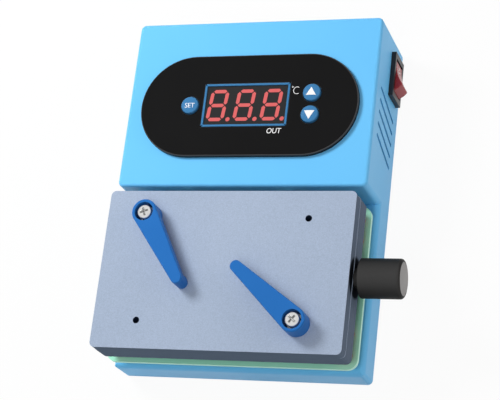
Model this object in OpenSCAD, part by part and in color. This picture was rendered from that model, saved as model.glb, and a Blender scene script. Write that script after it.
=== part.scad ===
// Bench preheater for circuit boards. A stepped housing carries a heating plate
// on an insulating board in front and a temperature controller behind.
// X runs to the right, Y to the rear, Z up, and the feet stand on Z = 0.

/* [Housing] */
// Width of the housing
body_w = 110; // [100:0.5:130]
// Length of the raised rear part that holds the controller
head_l = 76.2; // [74:0.1:90]
// Height of the raised rear part above the housing's bottom
head_h = 37; // [34:0.5:48]
// Height of the low front deck above the housing's bottom
deck_h = 15; // [13:0.5:20]
// Wall thickness of the moulded shell
wall = 2.2; // [1.6:0.1:3]
// Corner radius of the raised part seen from above
head_r = 2.4; // [1.8:0.1:5]
// Rounding of the raised part's top edges
head_edge = 1.4; // [0.4:0.1:1.7]
// Rounding of the deck's top edges
deck_r = 3.2; // [1.5:0.1:4.5]
// Radius of the low deck's upright corners
deck_corner = 2; // [1:0.1:3]
// Gap between the heating plate and the step behind it
step_gap = 5; // [4.5:0.1:8]

/* [Base] */
// Thickness of the base cover
base_t = 2; // [1.5:0.1:3]
// Height of the rubber feet
foot_h = 2; // [1.5:0.1:6]
// Radius of the rubber feet
foot_r = 5; // [3.5:0.1:7]
// Distance of the feet from the housing's sides
foot_side = 17; // [10:0.5:24]
// Distance of the feet from the housing's ends
foot_end = 17; // [10:0.5:24]
// Outer radius of the screw bosses
boss_r = 3.2; // [2.6:0.1:4]
// Distance of the side bosses from the housing's sides
boss_side = 8; // [7:0.1:10]
// Distance of the front bosses from the front
boss_front = 7; // [6:0.1:8]
// Distance of the middle bosses behind the step
boss_mid = 7; // [6:0.1:9]
// Distance of the rear bosses from the rear
boss_rear = 7; // [6:0.1:9]
// Distance of the rear bosses from the middle of the housing
boss_rear_x = 24; // [20:0.1:26]

/* [Heating plate] */
// Distance of the plate's sides inside the housing's sides
plate_side = 1.3; // [0.5:0.1:6]
// Length of the heating plate
plate_l = 67.9; // [60:0.1:90]
// Thickness of the heating plate
plate_t = 14.7; // [12:0.1:18]
// Distance of the plate behind the housing's front
plate_front = 0.5; // [0.3:0.1:3]
// Corner radius of the heating plate
plate_r = 2.2; // [1.5:0.1:5]
// Height of the plate's upper band above the fine ledge
ledge_drop = 5.6; // [4:0.1:6]
// Width of the fine ledge round the plate
ledge_w = 0.3; // [0.1:0.05:0.6]
// Radius of the threaded holes in the plate's top
thread_r = 1.4; // [1.2:0.05:1.45]
// Depth of the threaded holes
thread_l = 8; // [6:0.1:8.5]
// Distance of the threaded holes from the plate's sides
thread_side = 19.4; // [17:0.1:22]
// Distance of the threaded holes from the plate's ends
thread_end = 11.8; // [8:0.1:16]

/* [Insulating board and supports] */
// Distance of the insulating board's sides inside the housing's sides
board_inset = 0.6; // [0.2:0.1:1.2]
// Distance of the insulating board behind the housing's front
board_front = 0.1; // [0:0.05:1]
// How far the insulating board reaches behind the plate
board_lip = 0.9; // [0.3:0.1:1.2]
// Thickness of the insulating board
board_t = 2; // [1.5:0.1:3]
// Corner radius of the insulating board
board_r = 4.3; // [2:0.1:6]
// Air gap between the deck and the insulating board
board_gap = 6.7; // [5:0.1:10]
// Air gap between the insulating board and the plate
plate_gap = 6.3; // [5:0.1:10]
// Radius of the red insulating sleeves and bushes
sleeve_r = 3.7; // [3:0.1:4.2]
// Distance of the plate's sleeves from the plate's edges
sleeve_in = 5.3; // [4.5:0.1:6]
// Distance from a plate sleeve to the board's bush beside it
bush_step = 8.9; // [8.5:0.1:12]
// Height of the board's bushes
bush_h = 3.4; // [2:0.1:4]
// Radius of the pillars under the insulating board
pillar_r = 3; // [2.4:0.1:3.6]
// Length of a pillar's spigot in the deck
spigot_l = 5; // [3:0.1:6]

/* [Heaters and probe] */
// Radius of the heater rods
rod_r = 3; // [2:0.1:3.4]
// Length of the heater rods
rod_l = 58; // [40:0.5:59]
// Distance of the heater rods from the middle of the plate
rod_x = 22; // [12:0.5:23]
// Height of the rods' middle above the plate's underside
rod_rise = 5; // [4.2:0.1:6]
// Radius of the temperature probe
probe_r = 1.5; // [1:0.1:2]
// Length of the temperature probe
probe_l = 32; // [15:0.5:40]
// Radius of the heaters' sleeved leads
lead_r = 1.2; // [0.8:0.05:1.3]
// Radius of the probe's lead
probe_lead_r = 0.9; // [0.6:0.05:1]
// Middle radius of the bends in the leads
lead_bend = 2; // [1.7:0.05:2.2]
// Radius of the rubber grommets' collars
grommet_r = 2; // [1.8:0.05:2.1]
// Radius of the grommets' flanges
grommet_flange_r = 2.4; // [2.2:0.05:2.45]
// Thickness of the grommets' flanges
grommet_flange_t = 0.8; // [0.4:0.1:1.2]

/* [Handle] */
// Radius of the heat-proof grip
grip_r = 8.1; // [6:0.1:8.3]
// Length of the grip
grip_l = 19.8; // [14:0.1:35]
// Rounding of the grip's outer edge
grip_edge = 1.3; // [0.5:0.1:3]
// Depth of the grip's middle below the plate's top
grip_drop = 8.6; // [8.5:0.1:9.5]
// Radius of the grip's end disc
cap_r = 6.6; // [4:0.1:6.7]
// Thickness of the grip's end disc
cap_t = 0.8; // [0.4:0.1:1.5]
// Radius of the stud that holds the grip
stud_r = 2.5; // [1.5:0.1:3]
// Depth of the stud in the plate
stud_in = 11; // [6:0.1:13]
// Length of the stud in the grip
stud_out = 13; // [8:0.1:13]

/* [Clamps] */
// Distance between an arm's pivot and its tip
arm_reach = 33.6; // [24:0.1:37]
// Radius of an arm's hub
arm_hub_r = 5.3; // [4.8:0.1:6.5]
// Radius of an arm's tip
arm_tip_r = 2.4; // [1.6:0.1:3.5]
// Height of an arm
arm_h = 7.9; // [7.2:0.1:9]
// Height of the relief under an arm
arm_relief = 3.9; // [2.5:0.1:4.5]
// Bevel of an arm's top edge
arm_bevel = 0.4; // [0.2:0.05:0.7]
// Direction in which the left arm points
left_arm_angle = -57.6; // [-180:0.1:180]
// Direction in which the right arm points
right_arm_angle = 140.4; // [-180:0.1:180]
// Radius of the pocket for the screw head and spring
pocket_r = 4; // [3.8:0.05:4.3]
// Thickness of the pocket's floor
pocket_floor = 2; // [1.2:0.1:2.4]
// Radius of the clamp screws
clamp_screw_r = 1.5; // [1.3:0.05:1.5]
// Radius of the clamp screws' heads
clamp_head_r = 3.05; // [2.8:0.05:3.3]
// Height of the clamp screws' heads
clamp_head_h = 1.9; // [1.5:0.1:2]
// Depth of the screw head under the arm's top
clamp_head_drop = 0.1; // [0:0.05:0.3]
// Thickness of the washer under the spring
washer_t = 0.5; // [0.4:0.05:0.6]
// Radius of the washer
washer_r = 3.7; // [3.4:0.05:3.7]
// Wire radius of the clamp springs
wire_r = 0.22; // [0.18:0.01:0.24]
// Mean radius of the clamp springs
coil_r = 2.55; // [2.4:0.05:2.7]
// Number of turns of the clamp springs
coil_turns = 3; // [2:1:3]

/* [Controller panel] */
// Width of the panel with round ends
panel_w = 97; // [90:0.1:98]
// Length of the panel, which is also twice its end radius
panel_l = 46.3; // [42:0.1:50]
// Thickness of the panel
panel_t = 2; // [1:0.1:3]
// Bevel of the panel's edge
panel_bevel = 0.3; // [0.1:0.05:0.6]
// Distance of the panel's middle behind the step
panel_back = 36; // [32:0.1:40]
// Distance of the display's middle to the left of the panel's middle
window_shift = 0.9; // [0:0.1:3]
// Width of the display window
window_w = 35.8; // [32:0.1:36]
// Length of the display window
window_l = 17.4; // [15:0.1:17.6]
// Thickness of the tinted window
window_t = 1.6; // [1:0.1:1.9]
// Width of the blue frame round the window
frame_w = 1.1; // [0.8:0.1:1.4]
// How far the frame stands above the panel
frame_proud = 0.15; // [0:0.05:0.6]
// Width of the three-digit display module
module_w = 37.6; // [36.4:0.1:38]
// Length of the display module
module_l = 19; // [18.2:0.1:19.4]
// Height of the display module
module_h = 8; // [7:0.1:9]

/* [Buttons] */
// Radius of the push buttons
button_r = 4; // [3:0.1:4.1]
// Height of the button domes above the panel
button_proud = 1.1; // [0.6:0.1:2]
// Radius of the flange that holds a button in
button_flange_r = 4.6; // [4.4:0.1:4.7]
// Thickness of the flange
button_flange_t = 1.2; // [0.8:0.1:1.3]
// Travel of the buttons
button_travel = 0.5; // [0.3:0.05:0.5]
// Distance of the left button from the panel's middle
left_button_x = 25.8; // [25:0.1:32]
// Distance of the right buttons from the panel's middle
right_button_x = 28; // [25:0.1:32]
// Distance between the two right buttons
button_pitch = 9.8; // [9.6:0.1:12]
// Width of the key switches
key_w = 6; // [5:0.1:6.4]
// Height of the key switches' bodies
key_h = 3.5; // [3:0.1:3.6]
// Height of the key plungers above their switches
key_proud = 0.8; // [0.6:0.05:0.9]
// Radius of the key plungers
plunger_r = 1.7; // [1.2:0.05:2]

/* [Circuit boards] */
// Thickness of the circuit boards
pcb_t = 1.6; // [1:0.1:2]
// Width of the control board
control_w = 90; // [88:0.5:92]
// Length of the control board
control_l = 36; // [32:0.5:37]
// Distance of the control board's screws from its edges
control_in = 4; // [3.4:0.1:5]
// Width of the power board
power_w = 60; // [56:0.5:66]
// Gap between the power board and the mains inlet's tabs
power_gap = 1.6; // [0.5:0.1:4]
// Distance of the power board behind the step
power_back = 10.6; // [10.2:0.1:12]
// Height of the posts under the power board
post_h = 4; // [3:0.1:5]
// Distance of the power board's screws from its edges
power_in = 3.6; // [3.4:0.1:5]

/* [Mains switch] */
// Length of the switch's bezel
bezel_l = 20.2; // [19.5:0.1:22]
// Height of the switch's bezel
bezel_h = 14.2; // [14:0.1:16]
// Thickness of the switch's bezel
bezel_t = 2; // [1.5:0.1:3]
// Width of the bezel's rim outside the panel cut-out
bezel_rim = 1; // [0.6:0.1:1.4]
// Depth of the switch's body inside the wall's outer face
switch_depth = 14; // [12:0.1:18]
// Distance of the switch's middle from the rear
switch_rear = 17.6; // [17:0.1:20]
// Height of the switch's middle above the housing's bottom
switch_up = 11.3; // [10.5:0.1:18]
// Radius swept by the rocker's ends
rocker_r = 7.5; // [6.8:0.1:7.8]
// Width of the rocker
rocker_w = 10.2; // [8:0.1:10.4]
// Distance of the rocker's middle face from its pivot
rocker_mid = 3.9; // [3.6:0.1:4.3]
// Distance of the rocker's end edges from its pivot
rocker_end = 4.9; // [4.7:0.1:5.2]
// Distance of the rocker's pivot inside the wall's outer face
rocker_in = 1.1; // [0.8:0.1:1.6]
// Tilt of the rocker to either side
rocker_tilt = 17.3; // [8:0.1:18]
// Radius of the rocker's pivot pins
pin_r = 1.1; // [0.7:0.05:1.3]

/* [Mains inlet] */
// Width of the inlet's flange
inlet_flange_w = 31; // [30:0.1:34]
// Height of the inlet's flange
inlet_flange_h = 24; // [23:0.1:27]
// Thickness of the inlet's flange
inlet_flange_t = 2; // [1.5:0.1:3]
// Width of the inlet's body
inlet_w = 27; // [26.4:0.1:27.5]
// Height of the inlet's body
inlet_h = 19.8; // [19:0.1:20.5]
// Depth of the inlet's body inside the wall's outer face
inlet_depth = 18; // [16:0.1:19]
// Width of the inlet's recess
recess_w = 24.2; // [23.6:0.1:24.6]
// Height of the inlet's recess
recess_h = 16.2; // [15.8:0.1:16.6]
// Corner cut of the inlet's recess
recess_cut = 4; // [3:0.1:5]
// Depth of the inlet's recess behind its flange
recess_depth = 15; // [12:0.1:15.5]
// Height of the inlet's middle above the housing's bottom
inlet_up = 17.4; // [16.5:0.1:19]

/* [Side vents] */
// Number of slots in each side
vent_n = 5; // [1:1:5]
// Width of a slot
vent_w = 1.5; // [1:0.1:2.5]
// Length of a slot
vent_l = 25; // [15:0.1:26]
// Distance between neighbouring slots
vent_pitch = 5.24; // [4.5:0.02:5.5]
// Lean of the slots
vent_lean = 15.2; // [0:0.2:20]
// Distance of the front slot's middle behind the step
vent_back = 22.7; // [20:0.1:24]
// Height of the slots' middle above the housing's bottom
vent_up = 18; // [17:0.1:18.5]

/* [Hidden] */
$fn = 48;
hull_fn = 32;
// Overrun of the cuts, clearance of fixed pieces and of running pieces
cut = 1;
fit = 0.2;
snug = 0.05;
run = 0.1;
play = 0.3;
tab_l = 8;
// Main places
board_len = plate_l + board_lip + plate_front - board_front;
deck_l = plate_front + plate_l + step_gap;
body_l = deck_l + head_l;
plate_w = body_w - 2 * plate_side;
board_w = body_w - 2 * board_inset;
plate_y = plate_front + plate_l / 2;
plate_end = plate_front + plate_l;
body_z = foot_h;
deck_z = body_z + deck_h;
head_z = body_z + head_h;
board_z = deck_z + board_gap;
sleeve_z = board_z + board_t;
plate_z = sleeve_z + plate_gap;
plate_top = plate_z + plate_t;
thread_x = plate_w / 2 - thread_side;
thread_y = plate_l / 2 - thread_end;
sleeve_x = plate_w / 2 - sleeve_in;
sleeve_y = plate_l / 2 - sleeve_in;
bush_y = sleeve_y - bush_step;
panel_y = deck_l + panel_back;
control_z = head_z - module_h - pcb_t;
control_top = head_z - module_h;
power_z = body_z + base_t + post_h;
power_top = power_z + pcb_t;
power_l = head_l - power_back - inlet_depth - tab_l - power_gap;
power_y = deck_l + power_back + power_l / 2;
switch_y = body_l - switch_rear;
switch_z = body_z + switch_up;
inlet_z = body_z + inlet_up;
// The whole is placed with the middle of its outline over the origin
right_end = max(plate_w / 2 + grip_l, body_w / 2 + bezel_t + rocker_r - rocker_mid);
mid_x = (right_end - body_w / 2) / 2;
mid_y = (body_l + inlet_flange_t) / 2;
// Screws
m3_r = 1.5;
m3_head_r = 2.8;
m3_head_h = 1.7;
m25_r = 1.25;
m25_head_r = 2.3;
m25_head_h = 1.3;
sink_h = 1.4;
base_screw_in = 7;
plate_screw_in = 6;
board_screw_in = 4;
control_screw_in = 4;
power_screw_in = 3;
cross_w = 0.6;
cross_l = 3;
cross_h = 1.1;
post_r = 2.6;
// Lead route
lead_y = plate_end + step_gap / 2;
rod_z = plate_z + rod_rise;
entry_rise = 3;
entry_z = power_top + entry_rise;
lead_in = 2;
block_set = power_in + m25_head_r + 2 * fit;
block_y = deck_l + power_back + block_set;
block_w = 54;
block_l = 8;
block_h = 9;
block_screw_r = 1.6;
block_screw_h = 3;
// Components on the power board
transformer_w = 21;
transformer_h = 13;
core_share = 0.6;
core_over = 1.5;
relay_w = 19;
relay_h = 14;
part_gap = 3;
part_y = block_y + block_l + part_gap;
parts_rear = 2.7;
relay_rear = 5.7;
transformer_l = power_y + power_l / 2 - parts_rear - part_y;
relay_l = power_y + power_l / 2 - relay_rear - part_y;
// Screw boss places: sides, front, middle and rear
side_boss_x = body_w / 2 - boss_side;
bosses = [
    [-side_boss_x, boss_front, deck_h],
    [side_boss_x, boss_front, deck_h],
    [-side_boss_x, deck_l + boss_mid, head_h],
    [side_boss_x, deck_l + boss_mid, head_h],
    [-boss_rear_x, body_l - boss_rear, head_h],
    [boss_rear_x, body_l - boss_rear, head_h]
];
// Display pins
pin_pitch = 2.54;
pin_row = 15.24;
led_pin_r = 0.25;
led_pin_l = 2.8;
led_pins = 6;
// Terminals and contact pins
tab_w = 4.8;
tab_t = 0.8;
tab_x = 5;
tab_hole_r = 0.8;
mains_pin_w = 2;
mains_pin_h = 4;
mains_pin_l = 13;
mains_pin_x = 7;
earth_up = 4;
live_down = 0.5;
mains_pins = [[-mains_pin_x, -live_down], [mains_pin_x, -live_down], [0, earth_up - live_down]];
// Rocker and its well
well_floor = 3.9;
well_wall = 0.5;
pin_l = 0.5;
rocker_low = 1.5;
rocker_half = sqrt(pow(rocker_r, 2) - pow(rocker_end, 2));
rocker_rise = rocker_end - rocker_mid;
rocker_dish = (pow(rocker_half, 2) + pow(rocker_rise, 2)) / (2 * rocker_rise);
pivot_x = body_w / 2 - rocker_in;
// Clamp stack above the plate
seat_z = plate_top + snug;
washer_z = seat_z + pocket_floor;
spring_z = washer_z + washer_t;
clamp_head_z = seat_z + arm_h - clamp_head_drop - clamp_head_h;
spring_l = clamp_head_z - spring_z;
left_x = -thread_x;
left_y = plate_y + thread_y;
right_x = thread_x;
right_y = plate_y - thread_y;
// Buttons
button_bottom = control_top + key_h + key_proud;
left_button = [-left_button_x, panel_y];
up_button_at = [right_button_x, panel_y + button_pitch / 2];
down_button_at = [right_button_x, panel_y - button_pitch / 2];
button_places = [left_button, up_button_at, down_button_at];
plunger_low = 1;
plunger_room = 0.4;
dome_edge = 0.8;
dome_rise = 0.3;

// Moves a piece from the housing's own place to the common origin
module placed() {
    translate([-mid_x, -mid_y, 0]) children();
}

// Repeats a child at the four corners of a rectangle of half sizes x and y
module corners(x, y) {
    for (sx = [-1, 1]) {
        for (sy = [-1, 1]) {
            translate([sx * x, sy * y, 0]) children();
        }
    }
}

// Flat outline with round corners
module round_rect(w, l, r) {
    square([w - 2 * r, l], center = true);
    square([w, l - 2 * r], center = true);
    corners(w / 2 - r, l / 2 - r) circle(r = r);
}

// Corner post with a rounded top edge
module edge_post(r, h, e) {
    arc = [for (a = [0:15:90]) [r - e + e * cos(a), h - e + e * sin(a)]];
    rotate_extrude($fn = hull_fn) polygon(concat([[0, 0], [r, 0]], arc, [[0, h]]));
}

// Block with rounded upright corners and top edges
module rounded_block(w, l, h, r, e) {
    hull() corners(w / 2 - r, l / 2 - r) edge_post(r, h, min(e, r - snug));
}

// Outline of a low block with rounded upper corners, standing on y = 0
module arched(w, h, r) {
    translate([-w / 2, 0]) square([w, h - r]);
    translate([r - w / 2, 0]) square([w - 2 * r, h]);
    for (s = [-1, 1]) {
        translate([s * (w / 2 - r), h - r]) circle(r = r);
    }
}

// Low block from y = 0 back, its rounded top edges meeting in mitres at the corners
module deck_block(w, l, h) {
    intersection() {
        translate([0, l, 0]) rotate([90, 0, 0]) linear_extrude(l) arched(w, h, deck_r);
        translate([-w / 2 - cut, l / 2, 0]) rotate([90, 0, 90])
            linear_extrude(w + 2 * cut) arched(l, h, deck_r);
        translate([0, l / 2, -cut]) linear_extrude(h + 2 * cut) round_rect(w, l, deck_corner);
    }
}

// Pan head screw pointing up, its head under z = 0
module pan_screw_up(r, l, head_r, head_h) {
    cylinder(r = r, h = l);
    difference() {
        translate([0, 0, -head_h]) cylinder(r = head_r, h = head_h);
        translate([0, 0, -head_h]) cross_recess();
    }
}

// Cross recess, cut to both sides of z = 0
module cross_recess() {
    cube([cross_l, cross_w, 2 * cross_h], center = true);
    cube([cross_w, cross_l, 2 * cross_h], center = true);
}

// Slanted slots through both side walls
module vent_slots() {
    for (i = [0:vent_n - 1]) {
        translate([0, deck_l + vent_back + i * vent_pitch, body_z + vent_up])
            rotate([-vent_lean, 0, 0]) {
                cube([body_w + 2 * cut, vent_w, vent_l - vent_w], center = true);
                for (s = [-1, 1]) {
                    translate([0, 0, s * (vent_l - vent_w) / 2])
                        rotate([0, 90, 0])
                            cylinder(r = vent_w / 2, h = body_w + 2 * cut, center = true);
                }
            }
    }
}

// Outer form of the housing: a low deck in front of a raised part
module shell_outer() {
    translate([0, deck_l + head_l / 2, body_z])
        rounded_block(body_w, head_l, head_h, head_r, head_edge);
    translate([0, 0, body_z]) deck_block(body_w, deck_l + 3 * deck_r, deck_h);
}

// Room inside the housing, open at the bottom
module shell_inner() {
    inner_w = body_w - 2 * wall;
    translate([-inner_w / 2, deck_l + wall, body_z - cut])
        cube([inner_w, head_l - 2 * wall, head_h - wall + cut]);
    translate([-inner_w / 2, wall, body_z - cut])
        cube([inner_w, deck_l + cut, deck_h - wall + cut]);
}

module top_shell() {
    color("deepskyblue") placed() difference() {
        union() {
            difference() {
                shell_outer();
                shell_inner();
            }
            for (b = bosses) {
                translate([b[0], b[1], body_z + base_t])
                    cylinder(r = boss_r, h = b[2] - base_t - wall / 2);
            }
            translate([0, plate_y, deck_z - wall - spigot_l])
                corners(sleeve_x, bush_y) cylinder(r = boss_r, h = spigot_l + wall / 2);
            translate([0, panel_y, control_top])
                corners(control_w / 2 - control_in, control_l / 2 - control_in)
                    cylinder(r = post_r, h = module_h - wall / 2);
        }
        for (b = bosses) {
            translate([b[0], b[1], body_z])
                cylinder(r = m3_r + snug, h = base_t + base_screw_in + cut);
        }
        translate([0, plate_y, deck_z - wall - spigot_l - cut])
            corners(sleeve_x, bush_y) cylinder(r = m3_r + snug, h = wall + spigot_l + 2 * cut);
        translate([0, panel_y, control_top - cut])
            corners(control_w / 2 - control_in, control_l / 2 - control_in)
                cylinder(r = m25_r + snug, h = control_screw_in + 2 * cut);
        translate([-window_shift, panel_y, head_z])
            cube([module_w + 2 * fit, module_l + 2 * fit, 3 * wall], center = true);
        for (p = button_places) {
            translate([p[0], p[1], head_z - 2 * wall])
                cylinder(r = button_r + run, h = 3 * wall);
        }
        for (x = [-rod_x, 0, rod_x]) {
            translate([x, lead_y, deck_z - 2 * wall])
                cylinder(r = grommet_r + snug, h = 3 * wall);
        }
        vent_slots();
        translate([body_w / 2, switch_y, switch_z])
            cube([3 * wall, bezel_l - 2 * bezel_rim + 2 * snug,
                bezel_h - 2 * bezel_rim + 2 * snug], center = true);
        translate([0, body_l, inlet_z])
            cube([inlet_w + 2 * snug, 3 * wall, inlet_h + 2 * snug], center = true);
    }
}

module base_cover() {
    cover_w = body_w - 2 * wall - 2 * fit;
    cover_l = body_l - 2 * wall - 2 * fit;
    color("gainsboro") placed() difference() {
        union() {
            translate([0, body_l / 2, body_z])
                linear_extrude(base_t) square([cover_w, cover_l], center = true);
            translate([0, power_y, body_z])
                corners(power_w / 2 - power_in, power_l / 2 - power_in)
                    cylinder(r = post_r, h = base_t + post_h);
        }
        for (b = bosses) {
            translate([b[0], b[1], body_z]) {
                translate([0, 0, -cut]) cylinder(r = m3_r + run, h = base_t + 2 * cut);
                cylinder(r1 = m3_head_r + snug, r2 = m3_r + snug, h = sink_h);
            }
        }
        translate([0, power_y, power_z - power_screw_in])
            corners(power_w / 2 - power_in, power_l / 2 - power_in)
                cylinder(r = m25_r + snug, h = power_screw_in + cut);
    }
}

module base_screws() {
    color("silver") placed() for (b = bosses) {
        translate([b[0], b[1], body_z]) difference() {
            union() {
                cylinder(r1 = m3_head_r, r2 = m3_r, h = sink_h);
                cylinder(r = m3_r, h = base_t + base_screw_in);
            }
            cross_recess();
        }
    }
}

module rubber_feet() {
    color("dimgray") placed() translate([0, body_l / 2, 0])
        corners(body_w / 2 - foot_side, body_l / 2 - foot_end)
            cylinder(r1 = foot_r - foot_h / 4, r2 = foot_r, h = foot_h);
}

// Outline with fully round ends
module panel_block(grow, h) {
    for (s = [-1, 1]) {
        translate([s * (panel_w - panel_l) / 2, 0, 0])
            cylinder(r = panel_l / 2 + grow, h = h, $fn = 2 * hull_fn);
    }
}

module panel_overlay() {
    color("black") placed() translate([0, panel_y, head_z]) difference() {
        hull() {
            panel_block(0, panel_t - panel_bevel);
            panel_block(-panel_bevel, panel_t);
        }
        translate([-window_shift, 0, 0])
            cube([window_w + 2 * frame_w + 2 * snug, window_l + 2 * frame_w + 2 * snug,
                3 * panel_t], center = true);
        for (p = button_places) {
            translate([p[0], p[1] - panel_y, -cut])
                cylinder(r = button_r + run, h = panel_t + 2 * cut);
        }
    }
}

module window_frame() {
    frame_h = panel_t + frame_proud;
    color("steelblue") placed() translate([-window_shift, panel_y, head_z])
        linear_extrude(frame_h) difference() {
            round_rect(window_w + 2 * frame_w, window_l + 2 * frame_w, frame_w);
            square([window_w, window_l], center = true);
        }
}

module display_window() {
    color("dimgray") placed() translate([-window_shift, panel_y, head_z])
        linear_extrude(window_t)
            square([window_w - 2 * snug, window_l - 2 * snug], center = true);
}

module led_pin_grid(r, h) {
    for (i = [0:led_pins - 1]) {
        for (s = [-1, 1]) {
            translate([(i - (led_pins - 1) / 2) * pin_pitch, s * pin_row / 2, 0])
                cylinder(r = r, h = h);
        }
    }
}

module display_module() {
    color("darkslategray") placed() translate([-window_shift, panel_y, control_top]) {
        linear_extrude(module_h) square([module_w, module_l], center = true);
        translate([0, 0, -led_pin_l]) led_pin_grid(led_pin_r, led_pin_l + plunger_low);
    }
}

module control_board() {
    color("darkgreen") placed() translate([0, panel_y, control_z]) difference() {
        linear_extrude(pcb_t) square([control_w, control_l], center = true);
        translate([0, 0, -cut])
            corners(control_w / 2 - control_in, control_l / 2 - control_in)
                cylinder(r = m25_r + run, h = pcb_t + 2 * cut);
        translate([-window_shift, 0, -cut])
            led_pin_grid(led_pin_r + run, pcb_t + 2 * cut);
    }
}

module control_board_screws() {
    color("silver") placed() translate([0, panel_y, control_z])
        corners(control_w / 2 - control_in, control_l / 2 - control_in)
            pan_screw_up(m25_r, pcb_t + control_screw_in, m25_head_r, m25_head_h);
}

module key_switches() {
    color("black") placed() for (p = button_places) {
        translate([p[0], p[1], control_top]) difference() {
            linear_extrude(key_h) square([key_w, key_w], center = true);
            translate([0, 0, plunger_room]) cylinder(r = plunger_r + run, h = key_h);
        }
    }
}

// Push button with a domed cap above the panel and a holding flange inside
module button(p) {
    top = head_z + panel_t + button_proud;
    translate([p[0], p[1], button_bottom]) rotate_extrude() {
        polygon([
            [0, 0],
            [button_flange_r, 0],
            [button_flange_r, button_flange_t],
            [button_r, button_flange_t],
            [button_r, top - dome_edge - button_bottom],
            [button_r - dome_edge / 3, top - dome_edge / 3 - button_bottom],
            [button_r - dome_edge, top - button_bottom],
            [0, top + dome_rise - button_bottom]
        ]);
    }
}

module plunger(p) {
    translate([p[0], p[1], control_top + plunger_low])
        cylinder(r = plunger_r, h = key_h + key_proud - plunger_low);
}

module set_button() {
    color("steelblue") placed() button(left_button);
}

module set_plunger() {
    color("goldenrod") placed() plunger(left_button);
}

module up_button() {
    color("steelblue") placed() button(up_button_at);
}

module up_plunger() {
    color("goldenrod") placed() plunger(up_button_at);
}

module down_button() {
    color("steelblue") placed() button(down_button_at);
}

module down_plunger() {
    color("goldenrod") placed() plunger(down_button_at);
}

module power_board() {
    color("darkgreen") placed() translate([0, power_y, power_z]) difference() {
        linear_extrude(pcb_t) square([power_w, power_l], center = true);
        translate([0, 0, -cut]) corners(power_w / 2 - power_in, power_l / 2 - power_in)
            cylinder(r = m25_r + run, h = pcb_t + 2 * cut);
    }
}

module power_board_screws() {
    color("silver") placed() translate([0, power_y, power_top])
        corners(power_w / 2 - power_in, power_l / 2 - power_in)
            rotate([180, 0, 0])
                pan_screw_up(m25_r, pcb_t + power_screw_in - play, m25_head_r, m25_head_h);
}

module power_transformer() {
    color("goldenrod") placed()
        translate([-(part_gap + transformer_w) / 2, part_y + transformer_l / 2, power_top]) {
            linear_extrude(transformer_h)
                square([transformer_w, core_share * transformer_l], center = true);
            linear_extrude(transformer_h - core_over)
                square([core_share * transformer_w, transformer_l], center = true);
        }
}

module power_relay() {
    color("royalblue") placed()
        translate([(part_gap + relay_w) / 2, part_y + relay_l / 2, power_top])
            linear_extrude(relay_h) square([relay_w, relay_l], center = true);
}

module terminal_block() {
    color("seagreen") placed() translate([0, block_y, power_top]) difference() {
        translate([-block_w / 2, 0, 0]) cube([block_w, block_l, block_h]);
        for (x = [-rod_x, 0, rod_x]) {
            translate([x, -cut, entry_rise])
                rotate([-90, 0, 0]) cylinder(r = lead_r + run, h = lead_in + cut + snug);
            translate([x, block_l / 2, block_h - block_screw_h])
                cylinder(r = block_screw_r, h = block_screw_h + cut);
        }
    }
}

// Recess outline of the inlet, with its two upper corners cut
module recess_outline() {
    polygon([
        [-recess_w / 2, -recess_h / 2],
        [recess_w / 2, -recess_h / 2],
        [recess_w / 2, recess_h / 2 - recess_cut],
        [recess_w / 2 - recess_cut, recess_h / 2],
        [-recess_w / 2 + recess_cut, recess_h / 2],
        [-recess_w / 2, recess_h / 2 - recess_cut]
    ]);
}

// Places a flat outline upright at the rear, drawn towards the front
module at_inlet(back) {
    translate([0, body_l + back, inlet_z]) rotate([90, 0, 0]) children();
}

module power_inlet() {
    color("black") placed() difference() {
        union() {
            at_inlet(inlet_flange_t)
                linear_extrude(inlet_flange_t)
                    round_rect(inlet_flange_w, inlet_flange_h, inlet_flange_t);
            at_inlet(0)
                linear_extrude(inlet_depth) square([inlet_w, inlet_h], center = true);
        }
        at_inlet(inlet_flange_t + cut) linear_extrude(recess_depth + cut) recess_outline();
        for (p = mains_pins) {
            at_inlet(0) translate([p[0], p[1], 0])
                linear_extrude(inlet_depth + cut)
                    square([mains_pin_w + 2 * snug, mains_pin_h + 2 * snug], center = true);
        }
    }
}

module inlet_pins() {
    pin_back = inlet_flange_t - recess_depth + mains_pin_l;
    color("gold") placed() for (p = mains_pins) {
        at_inlet(pin_back) translate([p[0], p[1], 0])
            linear_extrude(inlet_depth + pin_back)
                square([mains_pin_w, mains_pin_h], center = true);
        at_inlet(-inlet_depth + snug) translate([p[0], p[1], 0])
            linear_extrude(tab_l) square([tab_t, mains_pin_h], center = true);
    }
}

module switch_housing() {
    body_len = bezel_l - 2 * bezel_rim;
    body_hi = bezel_h - 2 * bezel_rim;
    well_l = 2 * (rocker_r + fit);
    well_w = body_hi - 2 * (well_wall + pin_l);
    color("black") placed() translate([body_w / 2, switch_y, switch_z]) difference() {
        union() {
            translate([0, -bezel_l / 2, -bezel_h / 2]) cube([bezel_t, bezel_l, bezel_h]);
            translate([-switch_depth, -body_len / 2, -body_hi / 2])
                cube([switch_depth + bezel_t / 2, body_len, body_hi]);
        }
        translate([-rocker_in - well_floor, -well_l / 2, -rocker_w / 2 - run])
            cube([well_floor + rocker_in + bezel_t + cut, well_l, rocker_w + 2 * run]);
        translate([-rocker_in, 0, 0])
            cylinder(r = pin_r + snug, h = rocker_w + 2 * (pin_l + run), center = true);
    }
}

module switch_terminals() {
    color("gold") placed() translate([body_w / 2 - switch_depth, switch_y, switch_z])
        for (s = [-1, 1]) {
            translate([-tab_l, s * tab_x, 0]) difference() {
                translate([0, -tab_t / 2, -tab_w / 2]) cube([tab_l, tab_t, tab_w]);
                translate([tab_l / 3, 0, 0])
                    rotate([90, 0, 0])
                        cylinder(r = tab_hole_r, h = 2 * tab_w, center = true);
            }
        }
}

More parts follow.
